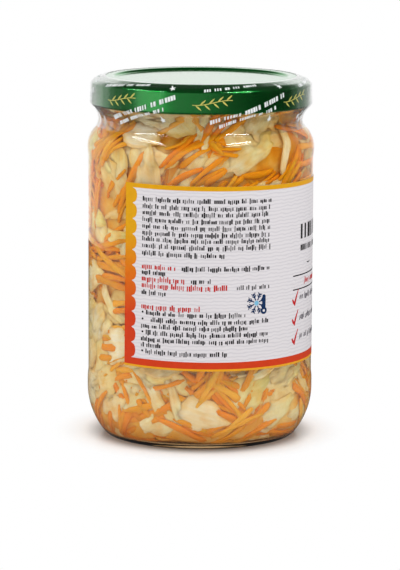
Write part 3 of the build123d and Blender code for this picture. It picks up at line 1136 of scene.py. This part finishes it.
def drawBorder(ink):
    left, right = paper["left"] / mm, paper["right"] / mm
    tall = paper["height"] / mm
    low = tall - border["bottom"]
    ink.band(left, right, 0, border["top"], inks["yellow"])
    ink.band(left, right, low, tall - border["line"], inks["red"])
    ink.band(left, right, tall - border["line"], tall, inks["line"])
    for edge, way in ((left, 1), (right, -1)):
        pairs = []
        for share in np.linspace(0, 1, border["bumps"] * 8 + 1):
            swell = border["bump"] * sqrt(max(1 - (2 * (share * border["bumps"] % 1.0) - 1) ** 2, 0))
            below = border["top"] + (low - border["top"]) * share
            reach = edge + way * (border["side"] + swell)
            pairs.append(((edge, below), (reach, below))[::way])
        ink.ribbon(pairs, inks["yellow"], inks["yellow"], inks["orange"], inks["red"], inks["red"])


def drawText(ink):
    random = np.random.default_rng(textBlock["seed"])
    left, wide, top = textBlock["left"], textBlock["wide"], textBlock["top"]
    rows = [(*row, name) for name in ("heading", "dark") for row in textBlock[name]]
    for below, start, end, name in sorted(rows):
        ink.words(random, left + start * wide, left + end * wide, top + below, inks[name],
                  tall=1.45 if name == "heading" else 1.25)
    for below in textBlock["bullets"]:
        ink.oval((left + 0.6, top + below - 0.3), 0.4, 0.4, inks["dark"])


def drawIcon(ink):
    # a snow star with a thermometer beside it
    middle = np.array(icon["at"])
    navy = inks["navy"]
    for arm in range(icon["arms"]):
        turn = 2 * pi * (arm + 0.5) / icon["arms"]
        way = np.array([cos(turn), sin(turn)])
        side = np.array([-way[1], way[0]])
        ink.stroke([middle + way * reach for reach in (1.1, 2.5, icon["reach"])], 0.46, navy)
        for reach in icon["branches"]:
            for hand in (-1, 1):
                root = middle + way * reach
                steps = ((0, 0), (0.5, 0.42), (1, 0.85))
                ink.stroke([root + way * out + side * hand * off for out, off in steps], 0.36, navy)
    ink.oval(middle, 0.95, 0.95, inks["blue"])
    stem, top, foot = icon["stem"]
    ink.stroke([(stem, below) for below in (top, (top + foot) / 2, foot)], 1.5, navy, over=1)
    ink.oval((stem, top), 0.72, 0.7, navy, over=1)
    ink.oval((stem, foot), 1.35, 1.35, navy, over=1)
    ink.oval((stem, foot), 0.5, 0.5, inks["white"], over=2)


def drawFront(ink):
    # the front of the pack is left generic: strokes for words, rules, ticks and a heap of leaves
    random = np.random.default_rng(front["seed"])
    ink.words(random, *front["title"], inks["dark"], tall=5.6, pitch=3.4, capitals=True)
    ink.words(random, *front["subtitle"], inks["dark"], tall=2.2, pitch=1.5, capitals=True)
    start = np.array(front["arc"])
    bow = [start + (3.2 * share, 1.6 * share * (1 - share)) for share in np.linspace(0, 1, 6)]
    ink.stroke(bow, 0.4, inks["dark"])
    for below in front["rules"]:
        ink.band(front["checkAt"] - 0.5, front["rulesTo"], below - 0.22, below + 0.22, inks["dark"])
    ink.words(random, *front["claim"], inks["check"], tall=1.7, pitch=1.1, slant=0.3)
    for below in front["checks"]:
        at = np.array([front["checkAt"] + 1.2, below])
        tick = [at + step for step in ((-1.9, 0.3), (-1.2, 1.5), (-0.6, 2.6), (0.7, -0.4), (2.2, -3.0))]
        ink.stroke(tick, [0.6, 1.1, 1.25, 0.9, 0.4], inks["check"])
        ink.words(random, at[0] + 3.2, front["wordsTo"], below, inks["grey"], 1.5, 0.9, slant=0.3)
    x, below = front["picture"]
    ink.oval((x, below + 5.5), 15, 3.2, inks["orange"])
    for leaf in range(front["leaves"]):
        turn = pi * (leaf + 0.5) / front["leaves"]
        way = np.array([-cos(turn), -sin(turn)])
        reach = random.uniform(7.5, 10)
        rib = [np.array([x, below + 4]) + way * reach * share for share in np.linspace(0.1, 1, 7)]
        shade = inks[str(random.choice(["leafPale", "cream", "leafDark"]))]
        ink.stroke(rib, [1.4, 2.6, 3.2, 3.4, 3.0, 2.0, 0.4], shade, over=1 + leaf % 3)


def drawNotes(ink):
    random = np.random.default_rng(notes["seed"])
    left, right = notes["left"], notes["right"]
    for below in notes["rows"]:
        ink.words(random, left, right - random.uniform(0, 9), below, inks["dark"], tall=1.2)
    for below in notes["rules"]:
        ink.band(left, right, below, below + 0.25, inks["grey"])


labelInk = Print(onLabel)
for draw in (drawBorder, drawText, drawIcon, drawFront, drawNotes):
    draw(labelInk)
finishPiece(labelInk.piece("labelPrint", smooth=False), inkMaterial("labelInk", 0.42), "label")


# the print on the lid's skirt and on the film
sprig = dict(at=5.8, repeats=7, height=(lid["bottom"] + lid["top"]) / 2 - 0.9 * mm, stem=15.0, leaves=8,
             gold=colour(226, 212, 112))
wording = dict(seed=21, at=26.5, repeats=6, white=colour(236, 240, 240), rows=[
    # how far round and down from the block's middle, lean, half length, height of the marks, their pitch
    (0.0, 13.4, 19, 17.0, 1.7, 1.15), (-0.5, 16.6, 19, 12.5, 1.3, 0.95),
    (-13.0, 4.9, 8, 5.5, 1.3, 1.0), (-2.5, 3.4, 8, 8.0, 1.3, 1.05),
], stars=((13.6, 4.6), (9.5, 18.2)), starLean=20)

filmCurve = np.array(filmOutside)
filmLength = runLengths(filmCurve)


def onFilm(along, below, lift):
    def at(length):
        return Vector([float(np.interp(length, filmLength, filmCurve[:, axis])) for axis in (0, 1)])

    turn = along / lid["skirt"]
    flat = around(turn, *at(below))
    way = (at(below + 0.3 * mm) - at(below - 0.3 * mm)).normalized()
    return flat + around(turn, crinkle(flat) - way.y * lift, way.x * lift)


def onSkirt(along, below, lift):
    return around(along / lid["skirt"], lid["skirt"] + lift, sprig["height"] - below)


def drawSprig(ink):
    # a curved stem with pairs of pointed leaves, in place of a mark
    half = sprig["stem"] / 2

    def stemAt(x):
        return np.array([x, -0.9 * sin(1.9 * x / half)])

    ink.stroke([stemAt(x) for x in np.linspace(-half, half, 15)], 0.26, sprig["gold"])
    for leaf in range(sprig["leaves"]):
        root = stemAt(half * (-0.85 + 1.75 * leaf / sprig["leaves"]))
        way = np.array([0.75, -0.66 if leaf % 2 else 0.66])
        points = [root + way * reach for reach in (0.1, 0.8, 1.5, 2.2, 2.9)]
        ink.stroke(points, [0.12, 0.5, 0.62, 0.45, 0.1], sprig["gold"])


def drawWording(ink, middle, random):
    # slanting rows of marks in place of words, round and round the film
    white = wording["white"]
    for aside, down, lean, half, tall, pitch in wording["rows"]:
        ink.place(middle + aside, down, lean)
        ink.words(random, -half, half, 0, white, tall=tall, pitch=pitch, slant=0.2, capitals=True)
    for aside, down in wording["stars"]:
        ink.place(middle + aside, down, wording["starLean"])
        for point in range(5):
            turn = 2 * pi * point / 5
            reach = np.array([sin(turn), -cos(turn)]) * (2.4 if point == 0 else 1.2)
            ink.stroke([reach * 0, reach * 0.5, reach], [0.9, 0.5, 0.1], white)


def repeats(piece):
    # the middle of each repeat round the lid, in millimetres along its skirt
    turns = [radians(piece["at"] + 360 / piece["repeats"] * i) for i in range(piece["repeats"])]
    return [turn * lid["skirt"] / mm for turn in turns]


sprigInk = Print(onSkirt, 0.05 * mm)
for middle in repeats(sprig):
    sprigInk.place(middle, 0)
    drawSprig(sprigInk)
finishPiece(sprigInk.piece("lidPrint", smooth=False), inkMaterial("goldInk", 0.3), "lid")

filmInk = Print(onFilm)
filmRandom = np.random.default_rng(wording["seed"])
for middle in repeats(wording):
    drawWording(filmInk, middle, filmRandom)
finishPiece(filmInk.piece("filmPrint", smooth=False), inkMaterial("whiteInk", 0.35), "film")
